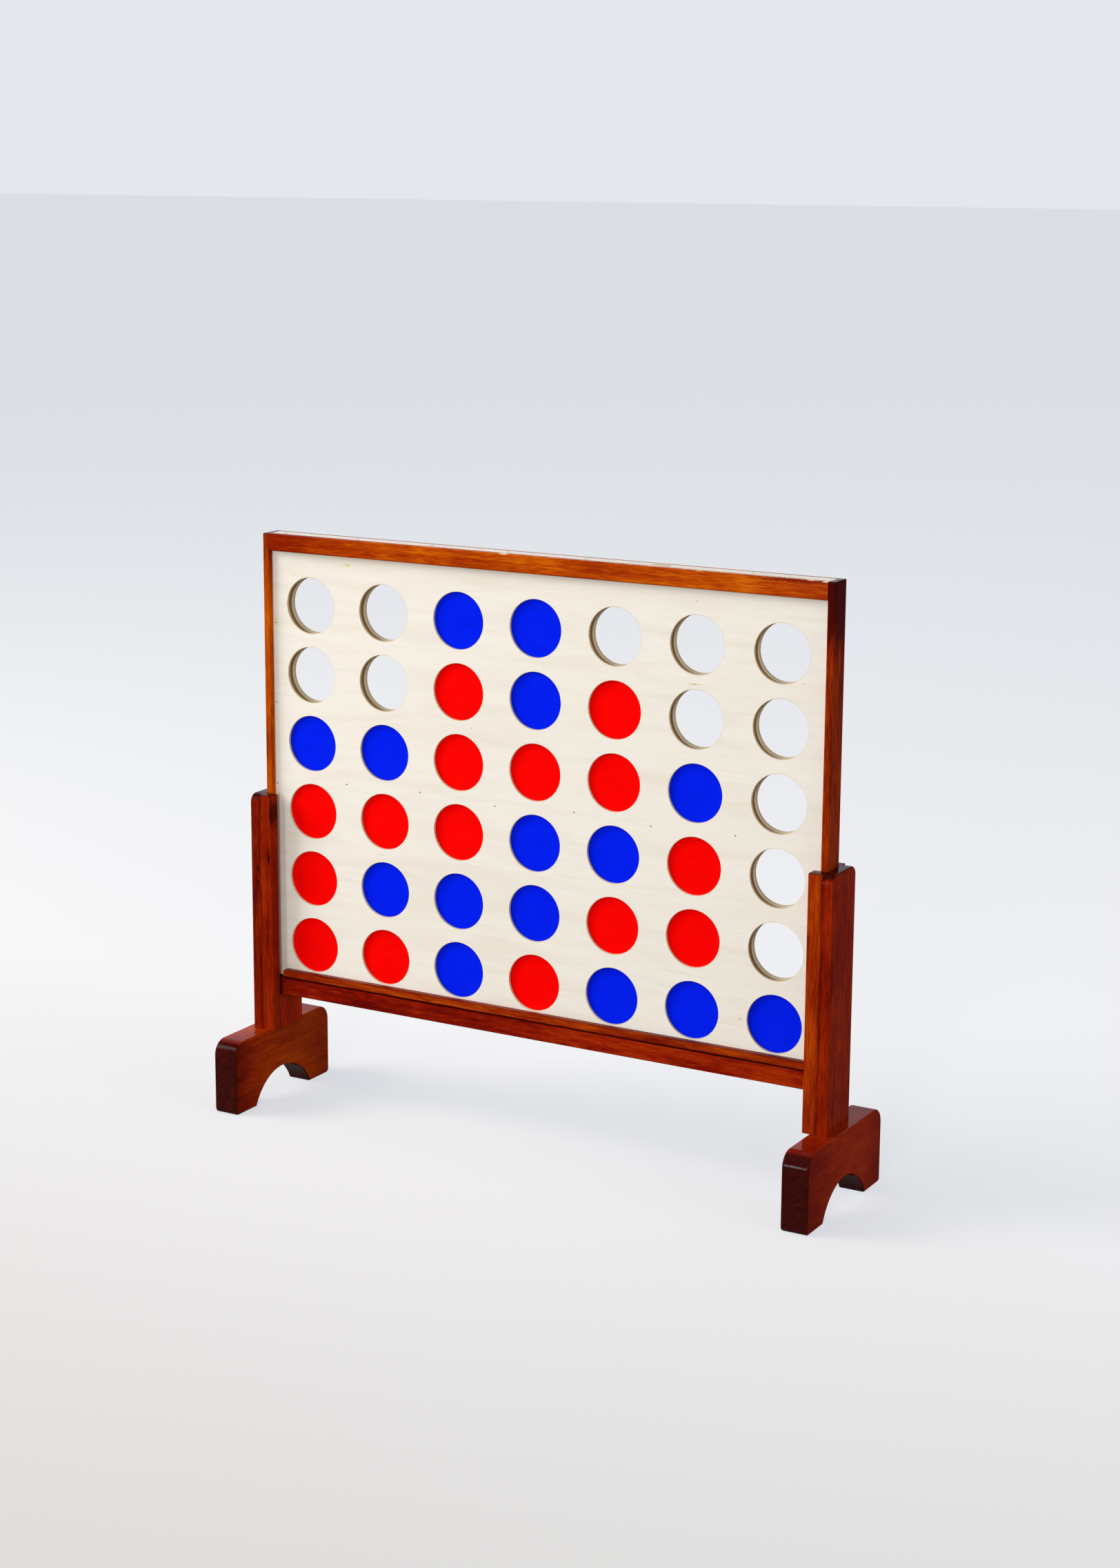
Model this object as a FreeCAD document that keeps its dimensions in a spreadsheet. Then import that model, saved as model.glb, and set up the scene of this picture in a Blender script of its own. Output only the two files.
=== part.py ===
import FreeCAD, Part
import os
import Sketcher
from FreeCAD import Placement, Rotation, Vector

# Giant four in a row: a board of two pierced plywood panels that slides down
# into the grooved uprights of a free-standing wooden stand, with the discs of
# a game stacked in its columns. Millimetres. X runs across the board, Y to the
# back and Z up from the floor; the middle of the board is at X = Y = 0.

os.makedirs("parts", exist_ok=True)
doc = FreeCAD.newDocument("GiantFourInARow")

# ---------------------------------------------------------------------------
# Sizes: plain numbers drive the model, and the rest follow from them
# ---------------------------------------------------------------------------
SIZES = (
    # playing grid and discs
    ("column_pitch", 123.2),
    ("row_pitch", 100.0),
    ("window_diameter", 80.4),
    ("bottom_window_height", 241.0),
    ("disc_diameter", 99.6),
    ("disc_thickness", 9.5),
    # board
    ("board_width", 890.0),
    ("board_depth", 36.0),
    ("board_top", 841.0),
    ("panel_bottom", 188.0),
    ("panel_thickness", 4.0),
    ("slot_gap", 11.0),
    ("stile_width", 10.0),
    ("divider_width", 21.6),
    ("top_rail_height", 24.5),
    ("strip_height", 11.0),
    ("strip_length", 841.0),
    ("rail_bevel", 1.5),
    # stand
    ("post_inner_face", 425.5),
    ("cheek_width", 20.0),
    ("cheek_depth", 18.0),
    ("upright_thickness", 16.0),
    ("upright_depth", 73.0),
    ("upright_top", 462.0),
    ("upright_crown_radius", 12.5),
    ("crossbar_depth", 36.0),
    ("crossbar_height", 24.5),
    ("crossbar_top", 185.0),
    ("crossbar_length", 843.0),
    ("tenon_thickness", 22.0),
    ("foot_width", 39.0),
    ("foot_length", 236.0),
    ("foot_height", 108.0),
    ("foot_inner_face", 435.0),
    ("foot_crown_radius", 22.0),
    ("foot_toe_radius", 6.0),
    ("arch_radius", 74.0),
    ("arch_centre_depth", 30.0),
    ("eased_edge", 2.0),
    ("dowel_diameter", 10.0),
    ("dowel_length", 60.0),
    ("dowel_fit", 0.1),
    # play between the pieces that move on each other
    ("seat_clearance", 0.3),
)
DERIVED = (
    ("panel_width", "=board_width - 2 * stile_width"),
    ("panel_height", "=board_top - panel_bottom"),
    ("panel_offset", "=(slot_gap + panel_thickness) / 2"),
    ("rail_thickness", "=(board_depth - slot_gap - 2 * panel_thickness) / 2"),
    ("rail_offset", "=(board_depth - rail_thickness) / 2"),
    ("stile_bottom", "=crossbar_top + seat_clearance"),
    ("stile_height", "=board_top - stile_bottom"),
    ("stile_offset", "=(board_width - stile_width) / 2"),
    ("spacer_inner_face", "=3.5 * column_pitch - divider_width / 2"),
    ("spacer_width", "=panel_width / 2 - spacer_inner_face"),
    ("upright_height", "=upright_top - foot_height"),
    ("groove_floor", "=post_inner_face + cheek_width"),
    ("upright_offset", "=groove_floor + upright_thickness / 2"),
    ("cheek_offset", "=post_inner_face + cheek_width / 2"),
    ("cheek_setback", "=(upright_depth - cheek_depth) / 2"),
    ("post_block_depth", "=upright_depth - 2 * cheek_depth"),
    ("crossbar_bottom", "=crossbar_top - crossbar_height"),
    ("tenon_reach", "=groove_floor - seat_clearance"),
    ("bottom_disc_height", "=crossbar_top + seat_clearance + disc_diameter / 2"),
    ("foot_offset", "=foot_inner_face + foot_width / 2"),
)
COLUMNS = 7
ROWS = 6
# The round shapes that repeat are regular prisms, which keeps the mesh of 84
# windows and 30 discs light. They stay within 0.3 mm of the circle.
WINDOW_SIDES = 24
DISC_SIDES = 28
DOWEL_SIDES = 16
# the game on the board: one word per column, from the bottom disc up
GAME = ("rrrb", "rbrb", "bbrrrb", "rbbrbb", "brbrr", "brrb", "b")
COLOURS = {"r": "red", "b": "blue"}
TOLERANCE = 1e-6

sheet = doc.addObject("Spreadsheet::Sheet", "Sizes")
for row, (alias, value) in enumerate(SIZES + DERIVED, 1):
    sheet.set(f"A{row}", alias)
    sheet.set(f"B{row}", str(value))
    sheet.setAlias(f"B{row}", alias)
doc.recompute()


def value_of(expression):
    """Number that an expression on the sheet's sizes gives."""
    return float(sheet.evalExpression(expression))


def circumradius(diameter, sides):
    """Corner radius of the prism whose sides lie evenly about a circle."""
    return f"{diameter} / 2 / cos(90 deg / {sides})"


# ---------------------------------------------------------------------------
# Small building steps
# ---------------------------------------------------------------------------
def new_body(name, **place):
    body = doc.addObject("PartDesign::Body", name)
    body.Label = name
    for axis, expression in place.items():
        body.setExpression(f"Placement.Base.{axis}", expression)
    return body


def new_sketch(body, name, plane, height=None):
    """Sketch on one of the body's own planes, raised off it by an expression."""
    sketch = body.newObject("Sketcher::SketchObject", name)
    support = next(item for item in body.Origin.OriginFeatures if item.Role == plane)
    sketch.AttachmentSupport = (support, [""])
    sketch.MapMode = "FlatFace"
    if height:
        sketch.setExpression("AttachmentOffset.Base.z", height)
    return sketch


def constrain(sketch, kind, *what, expression=None):
    """Add a constraint; with an expression, its size is that expression's value."""
    if expression is None:
        sketch.addConstraint(Sketcher.Constraint(kind, *what))
    else:
        index = sketch.addConstraint(Sketcher.Constraint(kind, *what, value_of(expression)))
        sketch.setExpression(f"Constraints[{index}]", expression)


def add_rectangle(sketch, left, right, low, high):
    """Rectangle whose four sides are placed by expressions."""
    x_left, x_right, y_low, y_high = map(value_of, (left, right, low, high))
    corners = [
        Vector(x_left, y_low), Vector(x_right, y_low),
        Vector(x_right, y_high), Vector(x_left, y_high),
    ]
    side = [
        sketch.addGeometry(Part.LineSegment(start, end), False)
        for start, end in zip(corners, corners[1:] + corners[:1])
    ]
    for index, kind in enumerate(("Horizontal", "Vertical") * 2):
        constrain(sketch, kind, side[index])
        constrain(sketch, "Coincident", side[index], 2, side[(index + 1) % 4], 1)
    constrain(sketch, "DistanceX", -1, 1, side[0], 1, expression=left)
    constrain(sketch, "DistanceY", -1, 1, side[0], 1, expression=low)
    constrain(sketch, "DistanceX", -1, 1, side[2], 1, expression=right)
    constrain(sketch, "DistanceY", -1, 1, side[2], 1, expression=high)


def pad(body, sketch, length, symmetric=False):
    feature = body.newObject("PartDesign::Pad", f"{sketch.Name}_pad")
    feature.Profile = sketch
    feature.SideType = "Symmetric" if symmetric else "One side"
    feature.setExpression("Length", length)
    return finish(feature, sketch)


def finish(feature, sketch):
    sketch.Visibility = False
    doc.recompute()
    return feature


def dress(body, kind, size_name, size, wanted):
    """Fillet or chamfer the edges of the body's last feature that pass a test."""
    base = body.Tip
    edges = [f"Edge{i}" for i, edge in enumerate(base.Shape.Edges, 1) if wanted(edge)]
    feature = body.newObject(f"PartDesign::{kind}", f"{body.Name}_{kind}".lower())
    feature.Base = (base, edges)
    feature.setExpression(size_name, size)
    doc.recompute()
    return feature


def fillet(body, radius, wanted):
    return dress(body, "Fillet", "Radius", radius, wanted)


def chamfer(body, size, wanted):
    return dress(body, "Chamfer", "Size", size, wanted)


def along(edge, axis):
    """True for a straight edge that runs along an axis of the body."""
    if not isinstance(edge.Curve, (Part.Line, Part.LineSegment)):
        return False
    return abs(abs(edge.tangentAt(edge.FirstParameter).dot(axis)) - 1) < TOLERANCE


def middle(edge):
    return edge.BoundBox.Center


# ---------------------------------------------------------------------------
# Board
# ---------------------------------------------------------------------------
def pierced_panel(name, side):
    """Plywood sheet with a grid of round windows, one for each place of a disc."""
    body = new_body(name, y=f"{side} * Sizes.panel_offset", z="Sizes.panel_bottom")
    outline = new_sketch(body, f"{name}_outline", "XZ_Plane")
    add_rectangle(outline, "-Sizes.panel_width / 2", "Sizes.panel_width / 2",
                  "0", "Sizes.panel_height")
    pad(body, outline, "Sizes.panel_thickness", symmetric=True)

    window = body.newObject("PartDesign::SubtractivePrism", f"{name}_window")
    window.Polygon = WINDOW_SIDES
    window.Placement = Placement(Vector(), Rotation(Vector(1, 0, 0), 90))
    for prop, expression in (
        ("Circumradius", circumradius("Sizes.window_diameter", WINDOW_SIDES)),
        ("Height", "2 * Sizes.panel_thickness"),
        ("Placement.Base.x", f"-{(COLUMNS - 1) / 2} * Sizes.column_pitch"),
        ("Placement.Base.y", "Sizes.panel_thickness"),
        ("Placement.Base.z", "Sizes.bottom_window_height - Sizes.panel_bottom"),
    ):
        window.setExpression(prop, expression)
    doc.recompute()

    grid = body.newObject("PartDesign::MultiTransform", f"{name}_grid")
    grid.Originals = [window]
    steps = []
    for word, axis, count, spacing in (
        ("across", "H_Axis", COLUMNS, "Sizes.column_pitch"),
        ("up", "V_Axis", ROWS, "Sizes.row_pitch"),
    ):
        step = doc.addObject("PartDesign::LinearPattern", f"{name}_{word}")
        step.Direction = (outline, [axis])
        step.Mode = "Spacing"
        step.Occurrences = count
        step.setExpression("Offset", spacing)
        steps.append(step)
    grid.Transformations = steps
    body.Tip = grid
    doc.recompute()


def board_rail(name, side, length, height, bottom):
    """Wooden rail on a panel's outer face, bevelled along its two outer edges."""
    body = new_body(name, y=f"{side} * Sizes.rail_offset", z=bottom)
    section = new_sketch(body, f"{name}_section", "YZ_Plane")
    add_rectangle(section, "-Sizes.rail_thickness / 2", "Sizes.rail_thickness / 2", "0", height)
    pad(body, section, length, symmetric=True)
    chamfer(body, "Sizes.rail_bevel",
            lambda edge: along(edge, Vector(1, 0, 0)) and side * middle(edge).y > 0)


def plain_block(name, width, depth, height, centre, bottom):
    """Plain upright piece: a stile, a spacer between the panels, a filling block."""
    block = doc.addObject("Part::Box", name)
    block.Label = name
    for prop, expression in (
        ("Length", width), ("Width", depth), ("Height", height),
        ("Placement.Base.x", f"{centre} - {width} / 2"),
        ("Placement.Base.y", f"-{depth} / 2"), ("Placement.Base.z", bottom),
    ):
        block.setExpression(prop, expression)


def make_board():
    for name, side in (("front", -1), ("back", 1)):
        pierced_panel(f"{name}_panel", side)
        board_rail(f"{name}_top_rail", side, "Sizes.panel_width", "Sizes.top_rail_height",
                   "Sizes.board_top - Sizes.top_rail_height")
        board_rail(f"{name}_bottom_strip", side, "Sizes.strip_length", "Sizes.strip_height",
                   "Sizes.panel_bottom")
    for name, side in (("left", -1), ("right", 1)):
        plain_block(f"{name}_stile", "Sizes.stile_width", "Sizes.board_depth",
                    "Sizes.stile_height", f"{side} * Sizes.stile_offset", "Sizes.stile_bottom")
        plain_block(f"{name}_spacer", "Sizes.spacer_width", "Sizes.slot_gap",
                    "Sizes.panel_height",
                    f"{side} * (Sizes.spacer_inner_face + Sizes.spacer_width / 2)",
                    "Sizes.panel_bottom")
    for number in range(1, COLUMNS):
        plain_block(f"column_divider_{number}", "Sizes.divider_width", "Sizes.slot_gap",
                    "Sizes.panel_height", f"{number - COLUMNS / 2} * Sizes.column_pitch",
                    "Sizes.panel_bottom")


# ---------------------------------------------------------------------------
# Stand
# ---------------------------------------------------------------------------
def turn_about(body, side):
    """The left-hand piece is the right-hand one turned half a turn about Z."""
    if side < 0:
        body.Placement = Placement(Vector(), Rotation(Vector(0, 0, 1), 180))


def dowel_bore(body, across, bottom):
    """Blind bore that takes the upper or the lower half of a foot dowel."""
    bore = body.newObject("PartDesign::SubtractivePrism", f"{body.Name}_bore")
    bore.Polygon = DOWEL_SIDES
    for prop, expression in (
        ("Circumradius",
         circumradius("(Sizes.dowel_diameter + Sizes.dowel_fit)", DOWEL_SIDES)),
        ("Height", "Sizes.dowel_length / 2 + Sizes.seat_clearance"),
        ("Placement.Base.x", across), ("Placement.Base.z", bottom),
    ):
        bore.setExpression(prop, expression)
    doc.recompute()


def make_upright(name, side):
    """Outer board of a post, on edge, with its two top corners rounded."""
    body = new_body(name)
    turn_about(body, side)
    body.setExpression("Placement.Base.x", f"{side} * Sizes.upright_offset")
    body.setExpression("Placement.Base.z", "Sizes.foot_height")

    section = new_sketch(body, f"{name}_section", "XY_Plane")
    add_rectangle(section, "-Sizes.upright_thickness / 2", "Sizes.upright_thickness / 2",
                  "-Sizes.upright_depth / 2", "Sizes.upright_depth / 2")
    pad(body, section, "Sizes.upright_height")
    top = value_of("Sizes.upright_height")
    fillet(body, "Sizes.upright_crown_radius",
           lambda edge: along(edge, Vector(1, 0, 0)) and middle(edge).z > top - TOLERANCE)
    # the outer face: its sides and crown, and not its foot
    chamfer(body, "Sizes.eased_edge",
            lambda edge: edge.BoundBox.XLength < TOLERANCE and middle(edge).z > TOLERANCE
            and middle(edge).x > 0)
    dowel_bore(body, "0 mm", "0 mm")


def make_cheek(name, side, face):
    """Strip glued inside an upright's front or back edge: a lip of the groove that
    guides the board. Its exposed corner and its top front edge are eased."""
    body = new_body(name, x=f"{side} * Sizes.cheek_offset", y=f"{face} * Sizes.cheek_setback",
                    z="Sizes.foot_height")
    section = new_sketch(body, f"{name}_section", "XY_Plane")
    add_rectangle(section, "-Sizes.cheek_width / 2", "Sizes.cheek_width / 2",
                  "-Sizes.cheek_depth / 2", "Sizes.cheek_depth / 2")
    pad(body, section, "Sizes.upright_height")
    top = value_of("Sizes.upright_height")
    chamfer(body, "Sizes.eased_edge",
            lambda edge: face * middle(edge).y > 0
            and (along(edge, Vector(0, 0, 1)) and side * middle(edge).x < 0
                 or along(edge, Vector(1, 0, 0)) and middle(edge).z > top - TOLERANCE))


def make_foot(name, side):
    """Board on edge with rounded ends and an arch cut out of its underside."""
    body = new_body(name)
    turn_about(body, side)
    body.setExpression("Placement.Base.x", f"{side} * Sizes.foot_offset")

    length, height = value_of("Sizes.foot_length"), value_of("Sizes.foot_height")
    radius, depth = value_of("Sizes.arch_radius"), value_of("Sizes.arch_centre_depth")
    spring = (radius ** 2 - depth ** 2) ** 0.5
    profile = new_sketch(body, f"{name}_profile", "YZ_Plane")
    line = [
        profile.addGeometry(Part.LineSegment(Vector(*start), Vector(*end)), False)
        for start, end in (
            ((spring, 0), (length / 2, 0)), ((length / 2, 0), (length / 2, height)),
            ((length / 2, height), (-length / 2, height)),
            ((-length / 2, height), (-length / 2, 0)), ((-length / 2, 0), (-spring, 0)),
        )
    ]
    crown = Vector(0, radius - depth)
    arch = profile.addGeometry(
        Part.Arc(Vector(-spring, 0), crown, Vector(spring, 0)), False)
    for index in range(len(line) - 1):
        constrain(profile, "Coincident", line[index], 2, line[index + 1], 1)
    # the arc's own direction is anticlockwise, from the back spring to the front one
    constrain(profile, "Coincident", arch, 1, line[0], 1)
    constrain(profile, "Coincident", arch, 2, line[4], 2)
    for index in (0, 2, 4):
        constrain(profile, "Horizontal", line[index])
    for index in (1, 3):
        constrain(profile, "Vertical", line[index])
    constrain(profile, "PointOnObject", arch, 3, -2)
    constrain(profile, "DistanceY", arch, 3, -1, 1, expression="Sizes.arch_centre_depth")
    constrain(profile, "Radius", arch, expression="Sizes.arch_radius")
    constrain(profile, "PointOnObject", line[0], 1, -1)
    constrain(profile, "PointOnObject", line[4], 2, -1)
    constrain(profile, "DistanceX", -1, 1, line[1], 1, expression="Sizes.foot_length / 2")
    constrain(profile, "DistanceX", -1, 1, line[3], 1, expression="-Sizes.foot_length / 2")
    constrain(profile, "DistanceY", -1, 1, line[2], 1, expression="Sizes.foot_height")
    pad(body, profile, "Sizes.foot_width", symmetric=True)

    def corner(edge, level):
        return (along(edge, Vector(1, 0, 0)) and abs(middle(edge).z - level) < TOLERANCE
                and abs(middle(edge).y) > length / 2 - TOLERANCE)

    fillet(body, "Sizes.foot_crown_radius", lambda edge: corner(edge, height))
    fillet(body, "Sizes.foot_toe_radius", lambda edge: corner(edge, 0))
    chamfer(body, "Sizes.eased_edge", lambda edge: edge.BoundBox.XLength < TOLERANCE)
    dowel_bore(body, "Sizes.upright_offset - Sizes.foot_offset",
               "Sizes.foot_height - Sizes.dowel_length / 2 - Sizes.seat_clearance")


def make_crossbar():
    """Lower rail of the stand; its stub tenons stand on the posts' filling blocks."""
    body = new_body("crossbar", z="Sizes.crossbar_bottom")
    section = new_sketch(body, "crossbar_section", "YZ_Plane")
    add_rectangle(section, "-Sizes.crossbar_depth / 2", "Sizes.crossbar_depth / 2",
                  "0", "Sizes.crossbar_height")
    pad(body, section, "Sizes.crossbar_length", symmetric=True)
    chamfer(body, "Sizes.rail_bevel", lambda edge: along(edge, Vector(1, 0, 0)))
    tenon = new_sketch(body, "crossbar_tenon", "YZ_Plane")
    add_rectangle(tenon, "-Sizes.tenon_thickness / 2", "Sizes.tenon_thickness / 2",
                  "0", "Sizes.crossbar_height")
    pad(body, tenon, "2 * Sizes.tenon_reach", symmetric=True)


def make_foot_dowels():
    """One wooden dowel between each upright and its foot, as one group of solids."""
    dowels = []
    for end in (-1, 1):
        dowel = doc.addObject("Part::Prism", "foot_dowel")
        dowel.Polygon = DOWEL_SIDES
        for prop, expression in (
            ("Circumradius", circumradius("Sizes.dowel_diameter", DOWEL_SIDES)),
            ("Height", "Sizes.dowel_length"),
            ("Placement.Base.x", f"{end} * Sizes.upright_offset"),
            ("Placement.Base.z", "Sizes.foot_height - Sizes.dowel_length / 2"),
        ):
            dowel.setExpression(prop, expression)
        dowels.append(dowel)
    group = doc.addObject("Part::Compound", "foot_dowels")
    group.Label = "foot_dowels"
    group.Links = dowels


def make_stand():
    for name, side in (("left", -1), ("right", 1)):
        make_upright(f"{name}_upright", side)
        make_cheek(f"{name}_front_cheek", side, -1)
        make_cheek(f"{name}_back_cheek", side, 1)
        plain_block(f"{name}_post_block", "Sizes.cheek_width", "Sizes.post_block_depth",
                    "Sizes.crossbar_bottom - Sizes.foot_height",
                    f"{side} * Sizes.cheek_offset", "Sizes.foot_height")
        make_foot(f"{name}_foot", side)
    make_crossbar()
    make_foot_dowels()


# ---------------------------------------------------------------------------
# Discs
# ---------------------------------------------------------------------------
def make_discs():
    """Discs of the game, on edge and flat side down: the lowest stands on the crossbar."""
    on_edge = Rotation(Vector(1, 0, 0), -90)
    flat_down = Rotation(Vector(0, 0, 1), 180 / DISC_SIDES)
    for column, stack in enumerate(GAME, 1):
        for row, colour in enumerate(stack, 1):
            name = f"{COLOURS[colour]}_disc_c{column}_r{row}"
            disc = doc.addObject("Part::Prism", name)
            disc.Label = name
            disc.Polygon = DISC_SIDES
            disc.Placement = Placement(Vector(), on_edge * flat_down)
            for prop, expression in (
                ("Circumradius", circumradius("Sizes.disc_diameter", DISC_SIDES)),
                ("Height", "Sizes.disc_thickness"),
                ("Placement.Base.x", f"{column - (COLUMNS + 1) / 2} * Sizes.column_pitch"),
                ("Placement.Base.y", "-Sizes.disc_thickness / 2"),
                ("Placement.Base.z",
                 f"Sizes.bottom_disc_height + {row - 1} * Sizes.row_pitch"),
            ):
                disc.setExpression(prop, expression)


make_stand()
make_board()
make_discs()
doc.recompute()

# ---------------------------------------------------------------------------
# Checks and export: every finished piece goes out under its label
# ---------------------------------------------------------------------------
for item in doc.Objects:
    if "Invalid" in item.State or "Error" in item.State:
        raise RuntimeError(f"{item.Name} did not build: {item.State}")

grouped = doc.getObject("foot_dowels").Links
pieces = [
    item for item in doc.Objects if item not in grouped
    and item.TypeId in ("PartDesign::Body", "Part::Box", "Part::Prism", "Part::Compound")
]
for piece in pieces:
    if piece.Shape.isNull() or not piece.Shape.isValid():
        raise RuntimeError(f"{piece.Label} has no valid shape")
    piece.Shape.exportStep(f"parts/{piece.Label}.step")
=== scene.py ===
import math

import bmesh
import bpy
from mathutils import Matrix, Vector


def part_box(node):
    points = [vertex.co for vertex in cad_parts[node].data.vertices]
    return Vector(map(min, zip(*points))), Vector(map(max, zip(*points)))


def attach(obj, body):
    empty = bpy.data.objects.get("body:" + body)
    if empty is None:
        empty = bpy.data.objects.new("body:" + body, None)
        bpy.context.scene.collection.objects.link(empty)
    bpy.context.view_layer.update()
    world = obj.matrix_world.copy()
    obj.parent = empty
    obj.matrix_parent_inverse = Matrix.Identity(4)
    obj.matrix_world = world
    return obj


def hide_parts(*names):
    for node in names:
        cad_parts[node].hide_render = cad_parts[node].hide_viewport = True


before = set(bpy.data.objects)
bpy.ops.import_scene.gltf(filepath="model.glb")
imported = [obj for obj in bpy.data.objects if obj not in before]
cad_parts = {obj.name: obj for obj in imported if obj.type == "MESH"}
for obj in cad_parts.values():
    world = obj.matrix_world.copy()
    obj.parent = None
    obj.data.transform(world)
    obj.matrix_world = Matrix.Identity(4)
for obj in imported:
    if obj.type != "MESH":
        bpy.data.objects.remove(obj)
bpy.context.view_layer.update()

bpy.ops.object.select_all(action="DESELECT")

# ---------------------------------------------------------------------------
# Feet
# Two short softwood boards set on edge across the game. Their top corners are
# rounded, an arch is sawn out of the underside so that each stands on two pads,
# and all arrises are sanded round before the red-brown stain and the varnish.
# ---------------------------------------------------------------------------
foot_crown = 0.022
foot_toe = 0.006
foot_ease = 0.003
arch_radius = 0.074
arch_drop = 0.030
arch_cutter = 0.1
# how squarely a face has to look along an axis to be picked, 1 for exactly
squarely = 0.99


def start_board(name, low, high):
    """Squared board between two corners of its space, ready to be shaped."""
    bpy.ops.object.select_all(action="DESELECT")
    middle = [(a + b) / 2 for a, b in zip(low, high)]
    bpy.ops.mesh.primitive_cube_add(size=1, location=middle,
                                    scale=[b - a for a, b in zip(low, high)])
    board = bpy.context.object
    board.name = name
    bpy.ops.object.transform_apply(location=True, rotation=True, scale=True)
    return board


def choose(piece, kind, wanted):
    """Select, in edit mode, only the edges or faces that pass a test of their place."""
    bpy.context.view_layer.objects.active = piece
    if piece.mode != "EDIT":
        bpy.ops.object.mode_set(mode="EDIT")
    bpy.ops.mesh.select_mode(type=kind)
    bpy.ops.mesh.select_all(action="DESELECT")
    shape = bmesh.from_edit_mesh(piece.data)
    for item in list(shape.edges if kind == "EDGE" else shape.faces):
        item.select_set(bool(wanted(item)))
    bmesh.update_edit_mesh(piece.data)


def round_off(piece, radius, steps, wanted):
    """Round the arrises that pass a test."""
    choose(piece, "EDGE", wanted)
    bpy.ops.mesh.bevel(offset=radius, offset_type="OFFSET", segments=steps, affect="EDGES")


def middle_of(edge):
    return (edge.verts[0].co + edge.verts[1].co) / 2


def at(measure, place):
    """True for a measure within a tenth of a millimetre of a place."""
    return abs(measure - place) < 1e-4


def sharp(edge):
    """True for an arris, where two faces meet at more than about 57 degrees."""
    return edge.calc_face_angle(0) > 1


def runs(edge, axis):
    """True for an edge that runs along an axis, 0 to 2 for X to Z."""
    way = edge.verts[1].co - edge.verts[0].co
    return abs(abs(way[axis]) - way.length) < 1e-6


def sand_smooth(piece):
    """Leave edit mode and shade the flats flat and the rounded arrises soft."""
    bpy.context.view_layer.objects.active = piece
    if piece.mode == "EDIT":
        bpy.ops.mesh.select_all(action="SELECT")
        bpy.ops.mesh.dissolve_degenerate()
        bpy.ops.mesh.normals_make_consistent(inside=False)
        bpy.ops.object.mode_set(mode="OBJECT")
    bpy.ops.object.select_all(action="DESELECT")
    piece.select_set(True)
    bpy.ops.object.shade_smooth_by_angle(angle=math.radians(40))
    even = piece.modifiers.new("even shading", "WEIGHTED_NORMAL")
    even.keep_sharp = True
    bpy.ops.object.modifier_apply(modifier=even.name)


def saw_out(piece, cutter):
    """Cut a shape out of a piece and put the cutter away."""
    bpy.ops.object.select_all(action="DESELECT")
    bpy.context.view_layer.objects.active = piece
    cut = piece.modifiers.new("saw cut", "BOOLEAN")
    cut.operation = "DIFFERENCE"
    cut.solver = "EXACT"
    cut.object = cutter
    bpy.ops.object.modifier_apply(modifier=cut.name)
    bpy.data.objects.remove(cutter, do_unlink=True)


def linear(colour):
    """Linear colour of an sRGB hex value."""
    parts = [int(colour[start:start + 2], 16) / 255 for start in (1, 3, 5)]
    return [p / 12.92 if p <= 0.04045 else ((p + 0.055) / 1.055) ** 2.4 for p in parts] + [1.0]


def add(tree, kind, inputs=None, stops=None, **settings):
    """Node with its settings, its values and links by socket, and a ramp's stops."""
    made = tree.nodes.new(kind)
    for name, value in settings.items():
        setattr(made, name, value)
    for socket, value in (inputs or {}).items():
        if isinstance(value, bpy.types.NodeSocket):
            tree.links.new(value, made.inputs[socket])
        else:
            made.inputs[socket].default_value = value
    if stops:
        ramp = made.color_ramp.elements
        while len(ramp) < len(stops):
            ramp.new(0.5)
        for point, (position, colour) in zip(ramp, stops):
            point.position = position
            point.color = linear(colour)
    return made


def mark(tree, where, colour, marks, grain_scale=(0.2, 1.0, 1.0)):
    """Paint small torn marks on a face: x, z, half width, half height and colour."""
    tear = 0.0012
    if marks:
        grain = add(tree, "ShaderNodeMapping", {
            "Vector": where.outputs["Object"], "Scale": grain_scale})
        torn = add(tree, "ShaderNodeTexNoise", {
            "Vector": grain.outputs["Vector"], "Scale": 1 / tear, "Detail": 2.0})
    for x, z, half_width, half_height, tint in marks:
        spot = add(tree, "ShaderNodeMapping", {
            "Vector": where.outputs["Object"],
            "Location": (-x / half_width, 0, -z / half_height),
            "Scale": (1 / half_width, 0.0, 1 / half_height)})
        reach = add(tree, "ShaderNodeVectorMath", {0: spot.outputs["Vector"]},
                    operation="LENGTH")
        reach = add(tree, "ShaderNodeMath", {
            0: torn.outputs["Fac"], 1: 1.6, 2: reach.outputs["Value"]},
            operation="MULTIPLY_ADD")
        share = add(tree, "ShaderNodeMapRange", {
            "Value": reach.outputs[0], "From Min": 1.2, "From Max": 1.7,
            "To Min": 1.0, "To Max": 0.0})
        colour = add(tree, "ShaderNodeMix", {
            0: share.outputs[0], 6: colour, 7: linear(tint)}, data_type="RGBA").outputs[2]
    return colour


def new_material(name):
    material = bpy.data.materials.new(name)
    material.use_nodes = True
    material.node_tree.nodes.clear()
    return material, material.node_tree


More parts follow.
